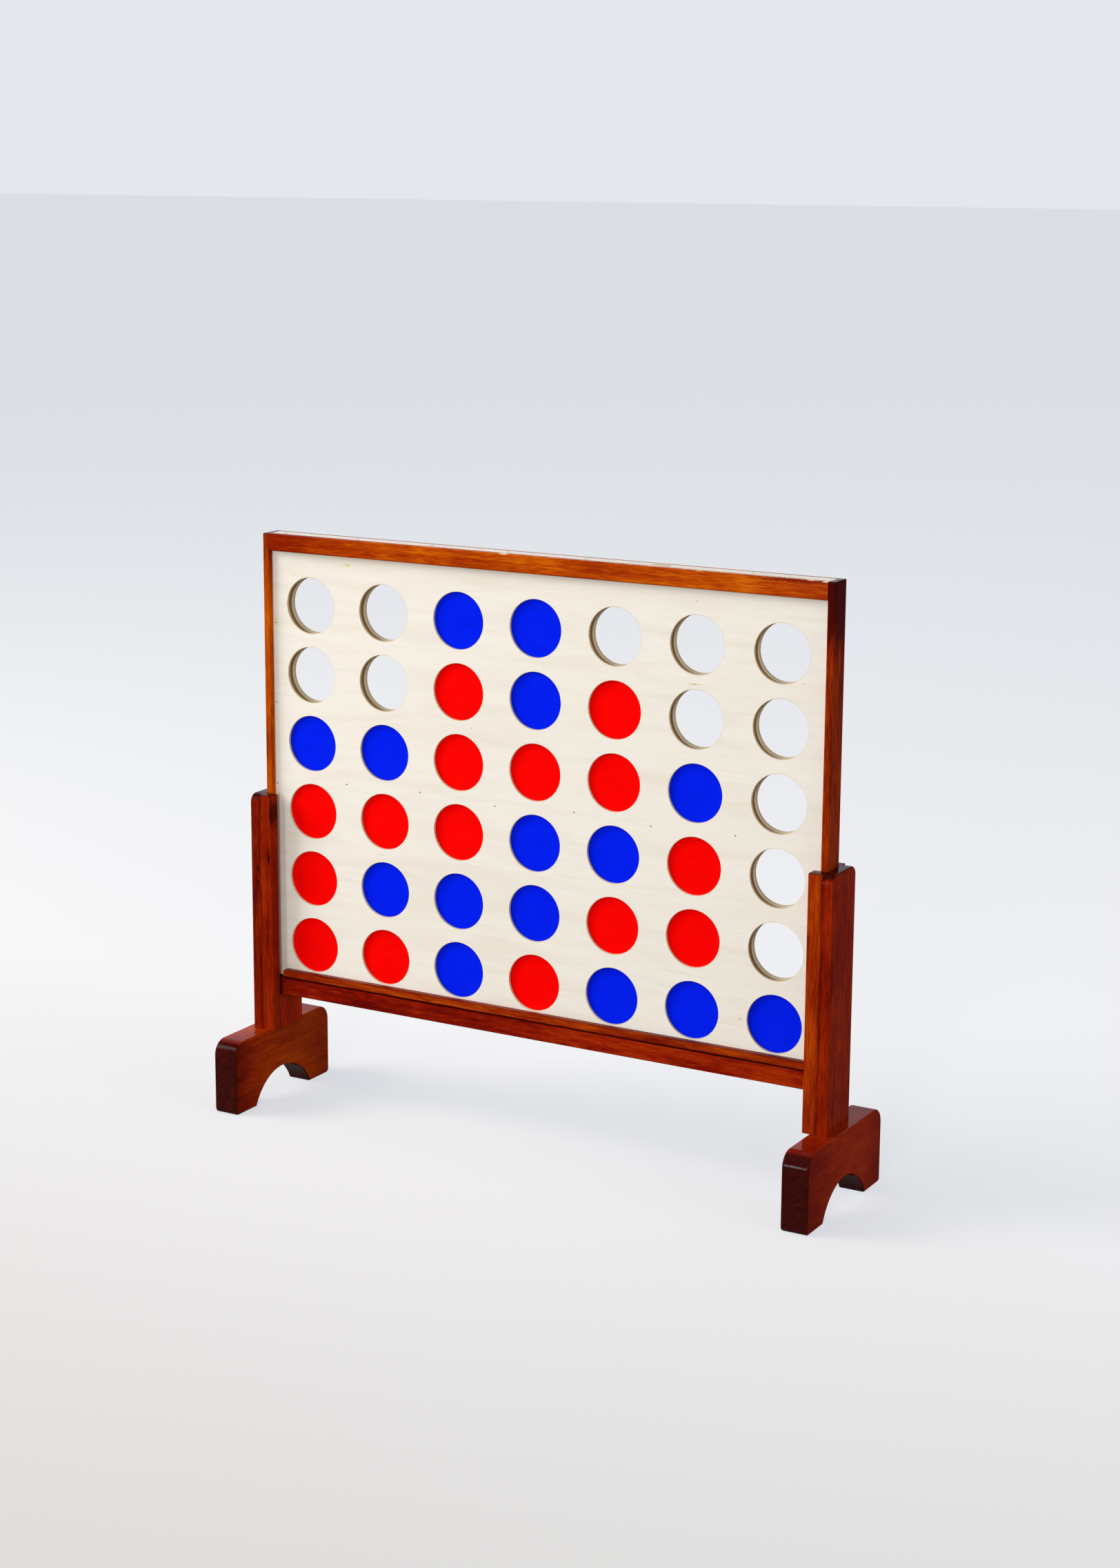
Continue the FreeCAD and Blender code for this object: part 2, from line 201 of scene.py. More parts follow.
# Stained pine: softwood with few knots, planed and sanded, wiped with a red-brown
# stain that sinks unevenly into soft and hard growth rings, and varnished. The
# eye sees long orange and dark red streaks under a clear gloss, near-black end
# grain that drank the stain, and tops that mirror the room at a low angle.
def stained_pine(name, along, shift, dark, middle, light, figure=1.0, leans=(), dark_band=None,
                 marks_and_sheen=()):
    ring_width = 0.007
    late_wood_width = 0.0014
    fibre_width = 0.0008
    wiped_patch = 0.045
    darkening_patch = 0.012
    end_stroke = 0.0024
    brush_ripple = 0.006
    material, tree = new_material(name)
    axis = "XYZ".index(along)
    where = add(tree, "ShaderNodeTexCoord")
    place = add(tree, "ShaderNodeSeparateXYZ", {0: where.outputs["Object"]})

    def figured(size, stretch, detail=3.0, roughness=0.55, distortion=0.0):
        """Pattern of a real size in metres, drawn out along the board."""
        scale = [1.0, 1.0, 1.0]
        scale[axis] = stretch
        placed = add(tree, "ShaderNodeMapping", {
            "Vector": where.outputs["Object"], "Location": shift, "Scale": scale})
        return add(tree, "ShaderNodeTexNoise", {
            "Vector": placed.outputs["Vector"], "Scale": 1 / size, "Detail": detail,
            "Roughness": roughness, "Distortion": distortion}).outputs["Fac"]

    # growth rings 7 mm wide, late wood in dashes 1.4 mm wide and 20 mm long, and the
    # stain wiped on by hand in patches 45 mm across, added up into how little stain
    # the wood has taken, with the figure strong or faint
    rings = figured(ring_width, 0.06, 3.0, 0.5, 0.4)
    late_wood = figured(late_wood_width, 0.07, 4.0, 0.6)
    wiped = figured(wiped_patch, 0.45, 2.0)
    taken = add(tree, "ShaderNodeMath", {0: rings, 1: 0.6, 2: late_wood},
                operation="MULTIPLY_ADD")
    taken = add(tree, "ShaderNodeMath", {0: wiped, 1: 0.6, 2: taken.outputs[0]},
                operation="MULTIPLY_ADD")
    taken = add(tree, "ShaderNodeMapRange", {
        "Value": taken.outputs[0], "From Min": 0.8, "From Max": 1.4,
        "To Min": 0.5 - 0.5 * figure, "To Max": 0.5 + 0.5 * figure})
    # lighter or darker along the board: along which axis, from, to, how much; on the feet it
    # is painted reflection and at the top of the right stile painted shade
    for way, start, stop, amount in leans:
        lean = add(tree, "ShaderNodeMapRange", {
            "Value": place.outputs[way], "From Min": start, "From Max": stop,
            "To Min": 0.0, "To Max": amount})
        taken = add(tree, "ShaderNodeMath", {0: taken.outputs[0], 1: lean.outputs[0]},
                    operation="ADD")
    stain = add(tree, "ShaderNodeValToRGB", {"Fac": taken.outputs[0]},
                stops=((0.10, dark), (0.50, middle), (0.90, light)))
    # fibres 0.8 mm apart
    fibres = figured(fibre_width, 0.03, 2.0, 0.6)
    fibre_tone = add(tree, "ShaderNodeMapRange", {
        "Value": fibres, "From Min": 0.3, "From Max": 0.7, "To Min": 0.88, "To Max": 1.10})
    face = add(tree, "ShaderNodeVectorMath", {
        0: stain.outputs["Color"], "Scale": fibre_tone.outputs[0]}, operation="SCALE")
    face = face.outputs[0]

    # darker along a seam or an edge: across which axis, where, how far; in the posts' glue
    # lines it is stain gathered in the joint, at the top of the right stile painted shade, and
    # on the rails and the left foot simply darker there
    if dark_band:
        across, edge, width = dark_band
        off = add(tree, "ShaderNodeMath", {0: place.outputs[across], 1: edge},
                  operation="SUBTRACT")
        off = add(tree, "ShaderNodeMath", {0: off.outputs[0]}, operation="ABSOLUTE")
        patches = add(tree, "ShaderNodeMapRange", {
            "Value": figured(darkening_patch, 0.15, 2.0), "From Min": 0.35, "From Max": 0.65,
            "To Min": 0.35, "To Max": 1.0})
        faded = add(tree, "ShaderNodeMapRange", {
            "Value": off.outputs[0], "From Min": 0.0, "From Max": width,
            "To Min": 0.85, "To Max": 0.0})
        share = add(tree, "ShaderNodeMath", {0: faded.outputs[0], 1: patches.outputs[0]},
                    operation="MULTIPLY")
        darkening = add(tree, "ShaderNodeVectorMath", {0: face, 1: (0.30, 0.12, 0.2)},
                       operation="MULTIPLY")
        face = add(tree, "ShaderNodeMix", {
            0: share.outputs[0], 6: face, 7: darkening.outputs[0]},
            data_type="RGBA").outputs[2]

    # end grain: strokes 2.4 mm wide that slant up to the right, where the surface
    # faces along the board
    slant = add(tree, "ShaderNodeMapping", {
        "Vector": where.outputs["Object"], "Location": shift,
        "Rotation": (0.0, math.radians(-38), 0.0), "Scale": (7.0, 1.0, 1.0)},
        vector_type="TEXTURE")
    strokes = add(tree, "ShaderNodeTexNoise", {
        "Vector": slant.outputs["Vector"], "Scale": 1 / end_stroke, "Detail": 2.0,
        "Roughness": 0.6})
    end_stain = add(tree, "ShaderNodeValToRGB", {"Fac": strokes.outputs["Fac"]},
                    stops=((0.36, "#2A0300"), (0.54, "#380401"), (0.78, "#520B02")))
    facing = add(tree, "ShaderNodeSeparateXYZ", {0: where.outputs["Normal"]})
    endwise = add(tree, "ShaderNodeMath", {0: facing.outputs[axis]}, operation="ABSOLUTE")
    ends = add(tree, "ShaderNodeMapRange", {
        "Value": endwise.outputs[0], "From Min": 0.30, "From Max": 0.62})
    colour = add(tree, "ShaderNodeMix", {
        0: ends.outputs[0], 6: face, 7: end_stain.outputs["Color"]},
        data_type="RGBA").outputs[2]
    colour = mark(tree, where, colour, marks_and_sheen,
                  [0.2 if way == along else 1.0 for way in "XYZ"])

    # the varnish levelled thick on the tops, sank into the end grain and is thin on
    # the sides; it follows the grain faintly and has the ripple of a brushed coat
    top_coat = add(tree, "ShaderNodeMapRange", {
        "Value": facing.outputs["Z"], "From Min": 0.8, "From Max": 0.98,
        "To Min": 0.06, "To Max": 0.62})
    end_coat = add(tree, "ShaderNodeMapRange", {
        "Value": endwise.outputs[0], "From Min": 0.5, "From Max": 0.8,
        "To Min": 0.06, "To Max": 0.24})
    varnish = add(tree, "ShaderNodeMath", {0: top_coat.outputs[0], 1: end_coat.outputs[0]},
                  operation="MAXIMUM")
    ripple = figured(brush_ripple, 0.35, 1.0)
    relief = add(tree, "ShaderNodeMath", {0: fibres, 1: 0.5, 2: ripple},
                 operation="MULTIPLY_ADD")
    bump = add(tree, "ShaderNodeBump", {
        "Strength": 0.35, "Distance": 0.0004, "Height": relief.outputs[0]})
    coat_bump = add(tree, "ShaderNodeBump", {
        "Strength": 0.25, "Distance": 0.0003, "Height": ripple})
    roughness = add(tree, "ShaderNodeMapRange", {
        "Value": fibres, "From Min": 0.3, "From Max": 0.7, "To Min": 0.46, "To Max": 0.34})
    shader = add(tree, "ShaderNodeBsdfPrincipled", {
        "Base Color": colour, "Roughness": roughness.outputs[0], "IOR": 1.5,
        "Specular IOR Level": 0.0, "Coat Weight": varnish.outputs[0],
        "Coat Roughness": 0.13, "Coat IOR": 1.3, "Normal": bump.outputs["Normal"],
        "Coat Normal": coat_bump.outputs["Normal"]})
    add(tree, "ShaderNodeOutputMaterial", {"Surface": shader.outputs["BSDF"]})
    return material


def dress(piece, material, slot, body, *nodes):
    """Give a finished piece its material, its body and the solids it replaces; the slot
    argument is not used.
    """
    piece.data.materials.clear()
    piece.data.materials.append(material)
    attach(piece, body)
    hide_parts(*nodes)


for side, dark, middle, light in (("left", "#7E1B02", "#A83603", "#C74F06"),
                                  ("right", "#701102", "#942403", "#AD3406")):
    low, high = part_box(f"{side}_foot")
    foot = start_board(f"{side}_foot_board", low, high)
    round_off(foot, foot_crown, 10, lambda edge:
              runs(edge, 0) and at(middle_of(edge).z, high[2]))
    round_off(foot, foot_toe, 5, lambda edge:
              runs(edge, 0) and at(middle_of(edge).z, low[2]))
    bpy.ops.object.mode_set(mode="OBJECT")
    bpy.ops.object.select_all(action="DESELECT")
    bpy.ops.mesh.primitive_cylinder_add(
        vertices=128, radius=arch_radius, depth=arch_cutter,
        location=((low[0] + high[0]) / 2, 0, -arch_drop), rotation=(0, math.radians(90), 0))
    saw_out(foot, bpy.context.object)
    round_off(foot, foot_ease, 3, lambda edge: sharp(edge) and any(
        abs(face.normal.x) > squarely for face in edge.link_faces))
    sand_smooth(foot)
    # painted reflection: the sides darken toward both ends, so a lighter patch across the
    # middle stands in for reflected light; the left foot is also darker toward its front end
    pine = stained_pine(f"stained_pine_{side}_foot", "Y", (low[0] * 7, 1.3, 0.4),
                        dark, middle, light, figure=0.6,
                        leans=(("Y", -0.04, low[1], -0.45), ("Y", 0.06, high[1], -0.3)),
                        dark_band=("Y", low[1], 0.036) if side == "left" else None)
    dress(foot, pine, "stained_wood", "stand", f"{side}_foot")

# ---------------------------------------------------------------------------
# Posts
# Each upright is glued up from four sticks of stained pine: an outer board with
# rounded top corners, a front and a back cheek whose tops stay square, and a
# short filling block between the cheeks. The groove left open guides the board.
# ---------------------------------------------------------------------------
post_crown = 0.0125
post_ease = 0.0025
cheek_ease = 0.0018
glue_line = 0.0004
seam_stain = 0.0045
left_board_knots = ((-0.4494, 0.3514, 0.0030, 0.0075, "#3A0701"),
                    (-0.4498, 0.3316, 0.0026, 0.0060, "#3A0701"))
left_cheek_knots = ((-0.4300, 0.3690, 0.0036, 0.0110, "#360601"),
                    (-0.4262, 0.4360, 0.0022, 0.0300, "#450B01"))

for side, out, board_tint, front_tint, back_tint, board_knots, cheek_knots in (
    ("left", -1, ("#560801", "#7B1702", "#992D04"), ("#530801", "#831A02", "#A12F04"),
     ("#780D02", "#A82503", "#C83604"), left_board_knots, left_cheek_knots),
    ("right", 1, ("#5F0902", "#851B03", "#A32D04"), ("#6C1102", "#9A2E03", "#BA4905"),
     ("#5A1202", "#8A3003", "#A64404"), (), ()),
):
    low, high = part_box(f"{side}_upright")
    board = start_board(f"{side}_post_board", low, high)
    round_off(board, post_crown, 8, lambda edge:
              runs(edge, 0) and at(middle_of(edge).z, high[2]))
    glued, outer = (low[0], high[0]) if out > 0 else (high[0], low[0])
    round_off(board, post_ease, 3, lambda edge: at(middle_of(edge).x, outer)
              and not at(middle_of(edge).z, low[2]))
    round_off(board, glue_line, 1, lambda edge: at(middle_of(edge).x, glued)
              and not at(middle_of(edge).z, low[2]) and sharp(edge))
    sand_smooth(board)
    darkening = ("X", glued, seam_stain)
    pine = stained_pine(f"stained_pine_{side}_post_board", "Z", (low[0] * 5, 0.7, 2.1),
                        *board_tint, figure=1.0, dark_band=darkening, marks_and_sheen=board_knots)
    dress(board, pine, "stained_wood", "stand", f"{side}_upright")

    for face, forward, tint in (("front", -1, front_tint), ("back", 1, back_tint)):
        low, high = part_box(f"{side}_{face}_cheek")
        cheek = start_board(f"{side}_{face}_cheek_strip", low, high)
        inner = low[0] if out > 0 else high[0]
        show = low[1] if forward < 0 else high[1]
        round_off(cheek, cheek_ease, 3, lambda edge:
                  runs(edge, 2) and at(middle_of(edge).x, inner)
                  or runs(edge, 0) and at(middle_of(edge).z, high[2])
                  or runs(edge, 1) and at(middle_of(edge).x, inner)
                  and at(middle_of(edge).z, high[2]))
        round_off(cheek, glue_line, 1, lambda edge: runs(edge, 2)
                  and at(middle_of(edge).x, glued) and at(middle_of(edge).y, show))
        sand_smooth(cheek)
        pine = stained_pine(f"stained_pine_{side}_{face}_cheek", "Z",
                            (3.3 + forward, low[0] * 9, 0.9), *tint, figure=0.85,
                            dark_band=darkening, marks_and_sheen=cheek_knots)
        dress(cheek, pine, "stained_wood", "stand", f"{side}_{face}_cheek")

    low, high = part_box(f"{side}_post_block")
    block = start_board(f"{side}_filling_block", low, high)
    round_off(block, glue_line, 1, sharp)
    sand_smooth(block)
    pine = stained_pine(f"stained_pine_{side}_block", "Z", (6.1, low[0] * 3, 1.9), *back_tint,
                        figure=0.8)
    dress(block, pine, "stained_wood", "stand", f"{side}_post_block")

# ---------------------------------------------------------------------------
# Crossbar
# The stand's lower rail, a square stick of the same stained pine. It is cut back
# at both ends to a stub tenon that stands on the filling block in each groove,
# and it carries the discs and the board. A little air shows at its shoulders.
# ---------------------------------------------------------------------------
crossbar_length = 0.843
tenon_thickness = 0.022
rail_ease = 0.0018
gap_ease = 0.0010

low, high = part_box("crossbar")
crossbar = start_board("crossbar_rail", (-crossbar_length / 2, low[1], low[2]),
                       (crossbar_length / 2, high[1], high[2]))
for end in (-1, 1):
    choose(crossbar, "FACE", lambda face: face.normal.x * end > squarely
           and at(face.calc_center_median().y, 0))
    bpy.ops.mesh.extrude_region_move(TRANSFORM_OT_translate={"value": (0, 0, 0)})
    bpy.ops.transform.resize(value=(1, tenon_thickness / (high[1] - low[1]), 1))
    bpy.ops.mesh.extrude_region_move(
        TRANSFORM_OT_translate={"value": (end * (high[0] - crossbar_length / 2), 0, 0)})
    bpy.ops.mesh.select_all(action="SELECT")
    bpy.ops.mesh.dissolve_degenerate()
for radius, place in ((rail_ease, low[2]), (gap_ease, high[2])):
    round_off(crossbar, radius, 3, lambda edge: runs(edge, 0)
              and at(abs(middle_of(edge).y), high[1]) and at(middle_of(edge).z, place))
sand_smooth(crossbar)
pine = stained_pine("stained_pine_crossbar", "X", (0.2, 4.4, 1.1),
                    "#5A0401", "#841503", "#A73005", figure=1.0,
                    leans=(("X", -0.10, -0.38, -0.25), ("X", -0.05, 0.05, 0.12)))
dress(crossbar, pine, "stained_wood", "stand", "crossbar")

# ---------------------------------------------------------------------------
# Foot dowels
# One round hardwood peg holds each post on its foot. It is hidden in the joint
# and only shows when the stand is taken apart: bare beech, cross-cut and dry.
# ---------------------------------------------------------------------------


# Bare softwood: planed poplar or spruce with no finish, matt and pale straw in
# colour, with narrow grain lines a shade darker and rough, absorbent ends.
def bare_softwood(name, along, shift, dark="#C9A878", middle="#DEC69C", light="#EBDCBD"):
    ring_width = 0.003
    material, tree = new_material(name)
    axis = "XYZ".index(along)
    scale = [1.0, 1.0, 1.0]
    scale[axis] = 0.04
    where = add(tree, "ShaderNodeTexCoord")
    placed = add(tree, "ShaderNodeMapping", {
        "Vector": where.outputs["Object"], "Location": shift, "Scale": scale})
    rings = add(tree, "ShaderNodeTexNoise", {
        "Vector": placed.outputs["Vector"], "Scale": 1 / ring_width, "Detail": 3.0,
        "Roughness": 0.6, "Distortion": 0.3})
    tone = add(tree, "ShaderNodeValToRGB", {"Fac": rings.outputs["Fac"]},
               stops=((0.32, dark), (0.48, middle), (0.66, light)))
    bump = add(tree, "ShaderNodeBump", {
        "Strength": 0.3, "Distance": 0.0002, "Height": rings.outputs["Fac"]})
    shader = add(tree, "ShaderNodeBsdfPrincipled", {
        "Base Color": tone.outputs["Color"], "Roughness": 0.72, "IOR": 1.5,
        "Specular IOR Level": 0.25, "Normal": bump.outputs["Normal"]})
    add(tree, "ShaderNodeOutputMaterial", {"Surface": shader.outputs["BSDF"]})
    return material


beech = bare_softwood("bare_beech_dowels", "Z", (0.5, 0.2, 0.1))
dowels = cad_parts["foot_dowels"]
for place in dowels.material_slots:
    place.material = beech

# ---------------------------------------------------------------------------
# Dividers and spacers
# Between the two plywood panels stand six planed softwood strips, one between
# each two columns of discs, and a narrower one at each end. They are glued and
# pinned to both panels and keep the slot just wider than a disc is thick.
# ---------------------------------------------------------------------------
strip_ease = 0.0004
poplar = bare_softwood("bare_poplar_strips", "Z", (1.1, 0.4, 0.6),
                       "#EBDFC8", "#F3EBDB", "#F9F4E8")
tan_poplar = bare_softwood("bare_poplar_heartwood", "Z", (0.2, 0.7, 1.6),
                           "#B08A55", "#DDBB85", "#E8CDA0")
for strip_name in [f"column_divider_{number}" for number in range(1, 7)] + [
        "left_spacer", "right_spacer"]:
    low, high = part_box(strip_name)
    strip = start_board(f"{strip_name}_strip", low, high)
    round_off(strip, strip_ease, 1, lambda edge: runs(edge, 2))
    sand_smooth(strip)
    dress(strip, tan_poplar if strip_name == "column_divider_5" else poplar,
          "bare_wood", "board", strip_name)

# ---------------------------------------------------------------------------
# Pierced panels
# Two sheets of thin three-ply with pale basswood faces, drilled with 42 round
# windows. The saw has toasted the rims to a fine tan line, and a clear satin
# lacquer leaves the cream faces dry to the eye.
# ---------------------------------------------------------------------------
columns = 7
rows = 6
column_pitch = 0.1232
row_pitch = 0.1
window_radius = 0.0402
bottom_window = 0.241
hole_saw_depth = 0.02
rim_ease = 0.0005
panel_margin = 0.005
planed_edge = 0.8


# Basswood plywood face: rotary-cut veneer, sanded and lacquered. It is creamy
# white with faint wavy bands along the sheet, hair-fine fibres, small flecks and
# now and then a pin knot or a yellow mineral stain.
def basswood_ply(name, shift, stains):
    band_height = 0.03
    fibre_height = 0.0015
    streak_height = 0.008
    fleck_height = 0.0016
    slot_half = 0.0065
    top_ring_end = 0.79
    material, tree = new_material(name)
    where = add(tree, "ShaderNodeTexCoord")

    def stretched(factor):
        return add(tree, "ShaderNodeMapping", {
            "Vector": where.outputs["Object"], "Location": shift,
            "Scale": (factor, 1.0, 1.0)}).outputs["Vector"]

    # wavy bands 30 mm high
    bands = add(tree, "ShaderNodeTexNoise", {
        "Vector": stretched(0.12), "Scale": 1 / band_height, "Detail": 3.0,
        "Distortion": 0.8})
    tone = add(tree, "ShaderNodeValToRGB", {"Fac": bands.outputs["Fac"]},
               stops=((0.30, "#EBE4D5"), (0.46, "#EFE9DD"), (0.60, "#F2ECE1"),
                      (0.74, "#EDE6D8")))
    # fibres 1.5 mm apart
    fibres = add(tree, "ShaderNodeTexNoise", {
        "Vector": stretched(0.05), "Scale": 1 / fibre_height, "Detail": 2.0,
        "Roughness": 0.6})
    fibre_tone = add(tree, "ShaderNodeMapRange", {
        "Value": fibres.outputs["Fac"], "From Min": 0.3, "From Max": 0.7,
        "To Min": 0.965, "To Max": 1.015})
    # soft shadowy streaks 8 mm high
    streaks = add(tree, "ShaderNodeTexNoise", {
        "Vector": stretched(0.07), "Scale": 1 / streak_height, "Detail": 2.0,
        "Roughness": 0.5})
    streak_tone = add(tree, "ShaderNodeMapRange", {
        "Value": streaks.outputs["Fac"], "From Min": 0.60, "From Max": 0.76,
        "To Min": 1.0, "To Max": 0.955})
    # flecks: dashes 1.6 mm high and 8 mm long, thinly scattered
    flecks = add(tree, "ShaderNodeTexNoise", {
        "Vector": stretched(0.2), "Scale": 1 / fleck_height, "Detail": 0.0})
    fleck_tone = add(tree, "ShaderNodeMapRange", {
        "Value": flecks.outputs["Fac"], "From Min": 0.76, "From Max": 0.84,
        "To Min": 1.0, "To Max": 0.90})
    both = add(tree, "ShaderNodeMath", {0: fibre_tone.outputs[0], 1: streak_tone.outputs[0]},
               operation="MULTIPLY")
    all_tones = add(tree, "ShaderNodeMath", {0: both.outputs[0], 1: fleck_tone.outputs[0]},
                    operation="MULTIPLY")
    face = add(tree, "ShaderNodeVectorMath", {
        0: tone.outputs["Color"], "Scale": all_tones.outputs[0]}, operation="SCALE")
    colour = mark(tree, where, face.outputs[0], stains)

    # inside the slot a tan ring is painted round each window, full for 5.5 mm and faded out by
    # 11 mm: the hole saw's toast on the bare inner faces, and in its darker outer part painted
    # shade where the front panel's shadow falls
    apart = add(tree, "ShaderNodeSeparateXYZ", {0: where.outputs["Object"]})
    aside = add(tree, "ShaderNodeMath", {
        0: apart.outputs["X"], 1: column_pitch / 2, 2: -column_pitch / 2},
        operation="WRAP")
    raised = add(tree, "ShaderNodeMath", {0: apart.outputs["Z"], 1: bottom_window},
                 operation="SUBTRACT")
    raised = add(tree, "ShaderNodeMath", {
        0: raised.outputs[0], 1: row_pitch / 2, 2: -row_pitch / 2}, operation="WRAP")
    across = add(tree, "ShaderNodeCombineXYZ", {0: aside.outputs[0], 2: raised.outputs[0]})
    reach = add(tree, "ShaderNodeVectorMath", {0: across.outputs[0]}, operation="LENGTH")
    ring = add(tree, "ShaderNodeMapRange", {
        "Value": reach.outputs["Value"], "From Min": window_radius + 0.0055,
        "From Max": window_radius + 0.011, "To Min": 1.0, "To Max": 0.0})
    # painted shade: the ring goes from pale tan at the rim to brown farther out
    rim = add(tree, "ShaderNodeMapRange", {
        "Value": reach.outputs["Value"], "From Min": window_radius + 0.0015,
        "From Max": window_radius + 0.0045})
    toasted_and_shaded = add(tree, "ShaderNodeMix", {
        0: rim.outputs[0], 6: linear("#EEDFC2"), 7: linear("#BE955E")}, data_type="RGBA")
    inward = add(tree, "ShaderNodeMath", {0: apart.outputs["Y"]}, operation="ABSOLUTE")
    inward = add(tree, "ShaderNodeMath", {0: inward.outputs[0], 1: slot_half},
                 operation="LESS_THAN")
    below_top = add(tree, "ShaderNodeMath", {0: apart.outputs["Z"], 1: top_ring_end},
                    operation="LESS_THAN")
    toast_and_shade = add(tree, "ShaderNodeMath", {0: ring.outputs[0], 1: inward.outputs[0]},
                operation="MULTIPLY")
    toast_and_shade = add(tree, "ShaderNodeMath", {0: toast_and_shade.outputs[0], 1: below_top.outputs[0]},
                operation="MULTIPLY")
    colour = add(tree, "ShaderNodeMix", {
        0: toast_and_shade.outputs[0], 6: colour, 7: toasted_and_shaded.outputs[2]}, data_type="RGBA").outputs[2]
    bump = add(tree, "ShaderNodeBump", {
        "Strength": 0.2, "Distance": 0.0002, "Height": fibres.outputs["Fac"]})
    shader = add(tree, "ShaderNodeBsdfPrincipled", {
        "Base Color": colour, "Roughness": 0.58, "IOR": 1.5, "Specular IOR Level": 0.25,
        "Normal": bump.outputs["Normal"]})
    add(tree, "ShaderNodeOutputMaterial", {"Surface": shader.outputs["BSDF"]})
    return material


# Sawn ply edge: three veneers seen end on, scorched tan by the hole saw, with a
# darker core between two paler skins and small torn fibres.
def ply_edge(name, centre):
    core_face = 0.0006
    skin_face = 0.0020
    torn_fibre = 0.0025
    material, tree = new_material(name)
    where = add(tree, "ShaderNodeTexCoord")
    apart = add(tree, "ShaderNodeSeparateXYZ", {0: where.outputs["Object"]})
    depth = add(tree, "ShaderNodeMath", {0: apart.outputs["Y"], 1: -centre}, operation="ADD")
    off = add(tree, "ShaderNodeMath", {0: depth.outputs[0]}, operation="ABSOLUTE")
    # the darker core is about 1.6 mm of the 4 mm
    layer = add(tree, "ShaderNodeMapRange", {
        "Value": off.outputs[0], "From Min": core_face, "From Max": skin_face})
    tone = add(tree, "ShaderNodeValToRGB", {"Fac": layer.outputs[0]},
               stops=((0.0, "#CBB088"), (0.15, "#D8C29C"), (0.35, "#EDE0C4"),
                      (0.8, "#E8D8B8"), (1.0, "#C8A36E")))
    torn = add(tree, "ShaderNodeTexNoise", {
        "Vector": where.outputs["Object"], "Scale": 1 / torn_fibre, "Detail": 3.0})
    torn_tone = add(tree, "ShaderNodeMapRange", {
        "Value": torn.outputs["Fac"], "From Min": 0.3, "From Max": 0.7,
        "To Min": 0.90, "To Max": 1.06})
    # the long top edge was planed and is not scorched
    planed = add(tree, "ShaderNodeMath", {0: apart.outputs["Z"], 1: planed_edge},
                 operation="GREATER_THAN")
    tone = add(tree, "ShaderNodeMix", {
        0: planed.outputs[0], 6: tone.outputs["Color"], 7: linear("#FEF9EF")},
        data_type="RGBA")
    face = add(tree, "ShaderNodeVectorMath", {
        0: tone.outputs[2], "Scale": torn_tone.outputs[0]}, operation="SCALE")
    bump = add(tree, "ShaderNodeBump", {
        "Strength": 0.4, "Distance": 0.0003, "Height": torn.outputs["Fac"]})
    shader = add(tree, "ShaderNodeBsdfPrincipled", {
        "Base Color": face.outputs[0], "Roughness": 0.75, "IOR": 1.5,
        "Specular IOR Level": 0.2, "Normal": bump.outputs["Normal"]})
    add(tree, "ShaderNodeOutputMaterial", {"Surface": shader.outputs["BSDF"]})
    return material


def turned(radius, depth, sides, place=(0, 0, 0)):
    """Round blank that lies from front to back, ready to be shaped."""
    bpy.ops.object.select_all(action="DESELECT")
    bpy.ops.mesh.primitive_cylinder_add(
        vertices=sides, radius=radius, depth=depth, rotation=(math.radians(90), 0, 0),
        location=place)
    bpy.ops.object.transform_apply(location=True, rotation=True, scale=True)
    return bpy.context.object


front_stains = ((-0.306, 0.804, 0.0070, 0.0035, "#E4D49A"),
                (0.244, 0.688, 0.0110, 0.0009, "#C9A35E"),
                (0.319, 0.240, 0.0040, 0.0028, "#E2CE94"),
                (0.401, 0.704, 0.0040, 0.0007, "#B9A98F"),
                (0.245, 0.799, 0.0030, 0.0014, "#D6CBB2"),
                (-0.102, 0.592, 0.0014, 0.0010, "#A58C66"),
                (0.118, 0.372, 0.0012, 0.0009, "#A0855E"),
                (-0.250, 0.392, 0.0060, 0.0008, "#D2C19A"))
back_stains = ((0.210, 0.701, 0.0040, 0.0030, "#9C7F57"),
               (-0.371, 0.342, 0.0030, 0.0020, "#A88A62"),
               (-0.060, 0.505, 0.0110, 0.0050, "#D8C48A"))

for face_name, stains in (("front", front_stains), ("back", back_stains)):
    low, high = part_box(f"{face_name}_panel")
    centre = (low[1] + high[1]) / 2
    panel = start_board(f"{face_name}_ply_panel", low, high)
    saw = turned(window_radius, hole_saw_depth, 72,
                 (-(columns - 1) / 2 * column_pitch, centre, bottom_window))
    for count, step in ((columns, (column_pitch, 0, 0)), (rows, (0, 0, row_pitch))):
        row = saw.modifiers.new("row of holes", "ARRAY")
        row.count = count
        row.use_relative_offset = False
        row.use_constant_offset = True
        row.constant_offset_displace = step
        bpy.ops.object.modifier_apply(modifier=row.name)
    saw_out(panel, saw)
    round_off(panel, rim_ease, 2, lambda edge: sharp(edge) and not runs(edge, 1)
              and abs(middle_of(edge).x) < high[0] - panel_margin
              and low[2] + panel_margin < middle_of(edge).z < high[2] - panel_margin)
    sand_smooth(panel)
    ply = basswood_ply(f"basswood_ply_{face_name}", (0.3 + centre * 80, 0.2, 0.9), stains)
    dress(panel, ply, "cream_plywood", "board", f"{face_name}_panel")
    panel.data.materials.append(ply_edge(f"sawn_ply_edge_{face_name}", centre))
    for face in panel.data.polygons:
        face.material_index = 0 if abs(face.normal.y) > squarely else 1

# ---------------------------------------------------------------------------
# Board frame
# Stained pine trims glued round the panels: a top rail and a thin bottom strip
# on each face, with bevelled outer arrises, and a stile that closes each end.
# Knocks along the top have chipped the stain through to the pale wood, and a long pale band on
# the top arris adds a painted sheen to the wear.
# ---------------------------------------------------------------------------
stile_ease = 0.0014
strip_end = 0.004
seam_width = 0.0025
